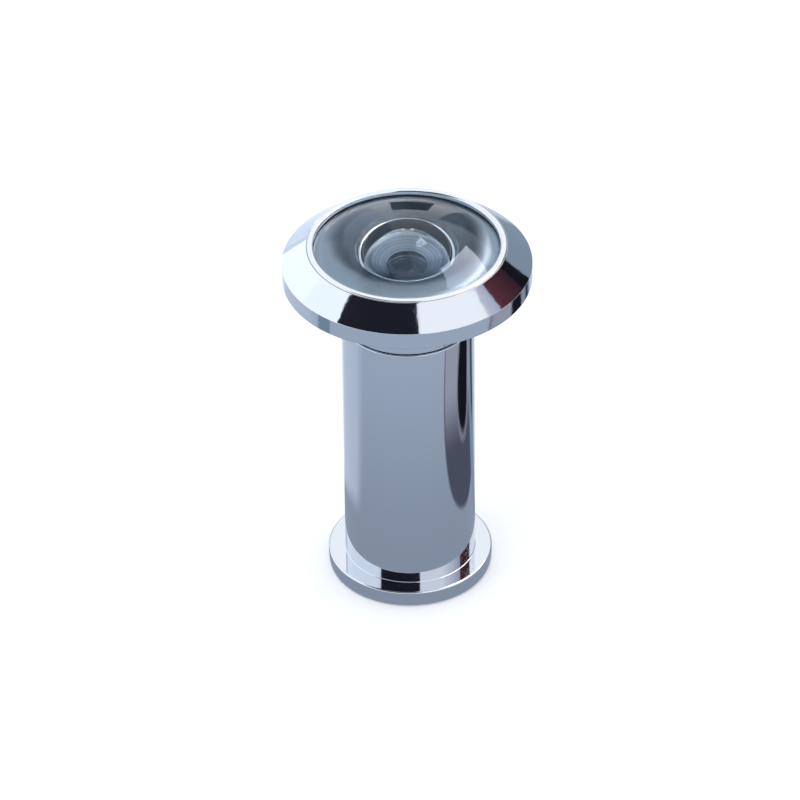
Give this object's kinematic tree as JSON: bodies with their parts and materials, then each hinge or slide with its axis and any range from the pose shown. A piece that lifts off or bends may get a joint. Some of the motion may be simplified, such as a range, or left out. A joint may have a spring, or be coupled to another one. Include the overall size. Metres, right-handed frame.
{
  "type": "door viewer",
  "caption": "Chromed wide-angle door viewer: a flanged lens barrel that screws into a flanged eyepiece sleeve through a door.",
  "frame": {"origin": "centre of the eyepiece flange's end face, which the part stands on", "axes": "+Z along the optical axis from the eyepiece to the objective flange; the coin slots lie along X"},
  "size_m": [0.0262, 0.0262, 0.0433],
  "materials": {
    "chrome": "polished chrome plate on brass",
    "lens_glass": "polished optical glass",
    "black_plastic": "black moulded spacer",
    "black_rubber": "black seal",
    "bare_brass": "turned brass ring"
  },
  "bodies": {
    "eyepiece_half": {"eyepiece_sleeve": "chrome", "eyepiece_seal": "black_rubber", "eyepiece_lens": "lens_glass", "eyepiece_retaining_ring": "bare_brass"},
    "lens_stack": {"second_lens": "lens_glass", "front_spacer": "black_plastic", "third_lens": "lens_glass", "spacer_tube": "black_plastic"},
    "objective_half": {"objective_housing": "chrome", "front_lens": "lens_glass", "front_lens_seal": "black_rubber", "bezel_ring": "chrome", "stack_retaining_ring": "bare_brass"}
  },
  "joints": [
    {"name": "screw_travel", "type": "slide", "parent": "eyepiece_half", "child": "lens_stack", "axis": [0, 0, 1], "range_m": [0, 0.02]},
    {"name": "screw_turn", "type": "hinge", "parent": "lens_stack", "child": "objective_half", "pos_m": [0, 0, 0.02], "axis": [0, 0, 1], "range_deg": [0, 7200]}
  ],
  "couplings": [
    {"joint": "screw_travel", "follows": "screw_turn", "m_per_rad": 0.00015915}
  ]
}
